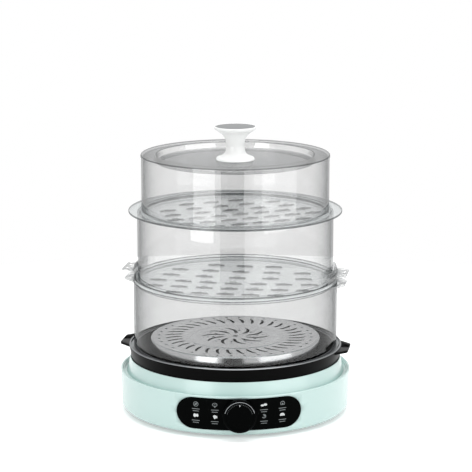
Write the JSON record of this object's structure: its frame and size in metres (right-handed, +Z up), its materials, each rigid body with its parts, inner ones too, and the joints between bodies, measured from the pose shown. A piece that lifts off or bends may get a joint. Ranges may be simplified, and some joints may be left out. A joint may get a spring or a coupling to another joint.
{
  "type": "electric food steamer",
  "caption": "Round electric food steamer: base with curved control panel and knob, lift-out pan, stacked clear tiers with slotted trays, clear lid with a flared knob.",
  "frame": {"origin": "middle of the base's footprint, on the surface it stands on", "axes": "+Z up along the axis of the base, tiers and lid; the control panel faces -Y and the mains inlet +Y; the lugs lie near the X axis"},
  "size_m": [0.3006, 0.32, 0.3732],
  "materials": {
    "mint_shell": "gloss moulded mint plastic",
    "steel": "brushed stainless steel",
    "zinc_screw": "bright zinc plated steel",
    "cover_plastic": "fine textured moulded plastic",
    "black_foot": "matt moulded rubber",
    "cast_alloy": "die cast aluminium, as cast",
    "spring_steel": "drawn spring wire",
    "brass_pin": "bright plated brass",
    "dark_plastic": "fine textured moulded plastic",
    "panel_lens": "gloss black printed lens",
    "light_clear": "clear light pipe",
    "board_green": "solder mask on glass fibre board",
    "part_black": "moulded component bodies",
    "lead_cover": "silicone wire cover",
    "black_knob": "gloss moulded black plastic",
    "pan_coating": "non-stick coating, satin black",
    "rack_steel": "pressed stainless steel, fine brushed",
    "clear_plastic": "clear polycarbonate, polished mould finish",
    "lid_knob_white": "gloss moulded white plastic",
    "lid_knob_grey": "satin moulded plastic"
  },
  "bodies": {
    "base": {"base_shell": "mint_shell", "top_ring": "mint_shell", "well_liner": "steel", "liner_screws": "zinc_screw", "bottom_cover": "cover_plastic", "cover_screws": "zinc_screw", "rubber_feet": "black_foot", "plate_posts": "cast_alloy", "post_screws": "zinc_screw", "heat_shield": "steel", "heating_plate": "cast_alloy", "heating_element": "spring_steel", "element_terminals": "brass_pin", "thermal_fuses": "dark_plastic", "sensor_cup": "steel", "sensor_spring": "spring_steel", "control_panel": "panel_lens", "light_pipes": "light_clear", "status_leds": "light_clear", "control_board": "board_green", "board_connector": "part_black", "board_screws": "zinc_screw", "encoder_body": "dark_plastic", "encoder_nut": "zinc_screw", "power_board": "board_green", "power_screws": "zinc_screw", "power_parts": "part_black", "terminal_block": "dark_plastic", "mains_leads": "lead_cover", "heater_leads": "lead_cover", "ribbon_cable": "lead_cover", "ribbon_plug": "part_black", "inlet_socket": "dark_plastic", "inlet_pins": "brass_pin"},
    "encoder_press": {"encoder_plunger": "dark_plastic"},
    "knob": {"encoder_shaft": "cast_alloy", "control_knob": "black_knob", "knob_face": "black_knob"},
    "sensor": {"sensor_cap": "cast_alloy"},
    "pan": {"pan": "pan_coating"},
    "rack": {"steam_rack": "rack_steel", "rack_legs": "rack_steel"},
    "lower_tier": {"lower_tier": "clear_plastic"},
    "middle_tray": {"middle_tray": "clear_plastic"},
    "upper_tier": {"upper_tier": "clear_plastic"},
    "upper_tray": {"upper_tray": "clear_plastic"},
    "lid": {"lid": "clear_plastic", "lid_washer": "black_foot", "lid_screw": "zinc_screw", "lid_knob_foot": "lid_knob_white", "lid_knob_top": "lid_knob_white", "lid_knob_cap": "lid_knob_grey"}
  },
  "joints": [
    {"name": "knob_press", "type": "slide", "parent": "base", "child": "encoder_press", "axis": [0, 1, 0], "range_m": [0, 0.0008], "stiffness_N_per_m": 500, "springref_m": -0.002},
    {"name": "knob_turn", "type": "hinge", "parent": "encoder_press", "child": "knob", "pos_m": [0, -0.15, 0.0327], "axis": [0, 1, 0], "continuous": true},
    {"name": "sensor_press", "type": "slide", "parent": "base", "child": "sensor", "axis": [0, 0, 1], "range_m": [-0.002, 0], "stiffness_N_per_m": 300, "springref_m": 0.004, "deforming": ["sensor_spring"]},
    {"name": "pan_lift", "type": "slide", "parent": "base", "child": "pan", "axis": [0, 0, 1], "range_m": [0, 0.12]},
    {"name": "rack_lift", "type": "slide", "parent": "pan", "child": "rack", "axis": [0, 0, 1], "range_m": [0, 0.05]},
    {"name": "lower_tier_lift", "type": "slide", "parent": "pan", "child": "lower_tier", "axis": [0, 0, 1], "range_m": [0, 0.12]},
    {"name": "middle_tray_lift", "type": "slide", "parent": "lower_tier", "child": "middle_tray", "axis": [0, 0, 1], "range_m": [0, 0.12]},
    {"name": "upper_tier_lift", "type": "slide", "parent": "middle_tray", "child": "upper_tier", "axis": [0, 0, 1], "range_m": [0, 0.12]},
    {"name": "upper_tray_lift", "type": "slide", "parent": "upper_tier", "child": "upper_tray", "axis": [0, 0, 1], "range_m": [0, 0.12]},
    {"name": "lid_lift", "type": "slide", "parent": "upper_tray", "child": "lid", "axis": [0, 0, 1], "range_m": [0, 0.15]}
  ]
}
